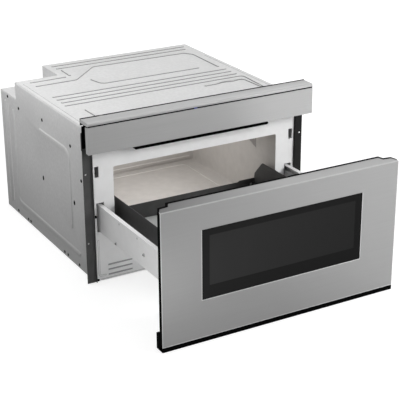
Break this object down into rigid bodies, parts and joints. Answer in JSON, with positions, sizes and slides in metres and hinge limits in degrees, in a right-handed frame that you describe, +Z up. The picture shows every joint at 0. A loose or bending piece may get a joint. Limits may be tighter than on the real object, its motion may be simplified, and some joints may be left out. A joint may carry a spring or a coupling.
{
  "type": "microwave drawer",
  "caption": "Built-in microwave oven with a stainless front that slides out with a basket and glass tray, a tilting control fascia above, and a sheet-steel body.",
  "frame": {"origin": "centre of the body's underside, where it rests on the cabinet shelf", "axes": "+X to the right as the user sees it, +Y to the back, +Z up; the drawer opens towards -Y"},
  "size_m": [0.606, 0.9497, 0.4142],
  "materials": {
    "coated_steel": "zinc-coated sheet steel, matt grey",
    "white_enamel": "white paint, satin",
    "cavity_enamel": "light grey enamel, satin",
    "stainless_steel": "brushed along its length",
    "black_steel": "black enamel, satin",
    "black_plastic": "moulded, fine grain",
    "black_glass": "polished, dark",
    "clear_glass": "polished, clear",
    "plated_steel": "bright zinc plating",
    "dark_screen": "perforated, matt black",
    "core_and_winding": "laminated iron with varnished windings",
    "circuit_board": "green laminate with parts",
    "grey_plastic": "moulded",
    "mica": "pale insulating sheet"
  },
  "bodies": {
    "chassis": {"base_pan": "coated_steel", "rear_panel": "coated_steel", "top_cover": "coated_steel", "recess_cover": "coated_steel", "cord_gland": "black_plastic", "left_side_panel": "coated_steel", "right_side_panel": "coated_steel", "front_frame": "white_enamel", "left_mounting_flange": "black_steel", "right_mounting_flange": "black_steel", "cavity_shell": "cavity_enamel", "cavity_floor_plate": "mica", "lamp_window": "cavity_enamel", "lamp_housing": "plated_steel", "stirrer_well": "plated_steel", "waveguide": "plated_steel", "stirrer_motor": "plated_steel", "magnetron": "plated_steel", "transformer": "core_and_winding", "capacitor": "plated_steel", "power_board": "circuit_board", "blower_housing": "black_plastic", "blower_motor": "plated_steel", "air_duct": "black_plastic", "left_slide_support": "plated_steel", "right_slide_support": "plated_steel", "left_cabinet_slide": "plated_steel", "right_cabinet_slide": "plated_steel", "left_interlock_switch": "grey_plastic", "right_interlock_switch": "grey_plastic", "drawer_motor": "black_plastic", "control_housing": "black_steel", "sensor_strip": "black_plastic", "top_cap": "stainless_steel"},
    "drawer": {"door_skin": "stainless_steel", "window_glass": "black_glass", "window_screen": "dark_screen", "door_frame": "black_plastic", "door_choke": "black_plastic", "inner_window": "clear_glass", "base_trim": "black_plastic", "basket": "black_steel", "glass_tray": "clear_glass", "left_rail_bracket": "white_enamel", "right_rail_bracket": "white_enamel", "left_drawer_slide": "plated_steel", "right_drawer_slide": "plated_steel", "drive_rack": "grey_plastic", "left_latch_hook": "black_steel", "right_latch_hook": "black_steel"},
    "left_middle": {"left_middle_slide": "plated_steel"},
    "right_middle": {"right_middle_slide": "plated_steel"},
    "control_panel": {"fascia_panel": "stainless_steel", "control_carrier": "black_plastic", "touch_glass": "black_glass", "control_board": "circuit_board"},
    "pinion": {"drive_pinion": "plated_steel"},
    "stirrer_rotor": {"stirrer": "plated_steel"},
    "blower_rotor": {"blower_wheel": "grey_plastic"}
  },
  "joints": [
    {"name": "drawer_slide", "type": "slide", "parent": "chassis", "child": "drawer", "axis": [0, -1, 0], "range_m": [-0.3437, 0.04]},
    {"name": "left_slide_travel", "type": "slide", "parent": "chassis", "child": "left_middle", "axis": [0, -1, 0], "range_m": [-0.172, 0.0201]},
    {"name": "right_slide_travel", "type": "slide", "parent": "chassis", "child": "right_middle", "axis": [0, -1, 0], "range_m": [-0.172, 0.0201]},
    {"name": "pinion_spin", "type": "hinge", "parent": "chassis", "child": "pinion", "pos_m": [0.2415, -0.262, 0.1338], "axis": [0, 0, 1], "range_deg": [-192, 1642]},
    {"name": "control_tilt", "type": "hinge", "parent": "chassis", "child": "control_panel", "pos_m": [0, -0.315, 0.341], "axis": [1, 0, 0], "range_deg": [0, 45]},
    {"name": "stirrer_spin", "type": "hinge", "parent": "chassis", "child": "stirrer_rotor", "pos_m": [0, -0.06925, 0.045], "axis": [0, 0, 1], "continuous": true},
    {"name": "blower_spin", "type": "hinge", "parent": "chassis", "child": "blower_rotor", "pos_m": [-0.165, 0.25, 0.125], "axis": [0, 1, 0], "continuous": true}
  ],
  "couplings": [
    {"joint": "left_slide_travel", "follows": "drawer_slide", "ratio": 0.5},
    {"joint": "right_slide_travel", "follows": "drawer_slide", "ratio": 0.5},
    {"joint": "pinion_spin", "follows": "drawer_slide", "rad_per_m": -83.333}
  ]
}
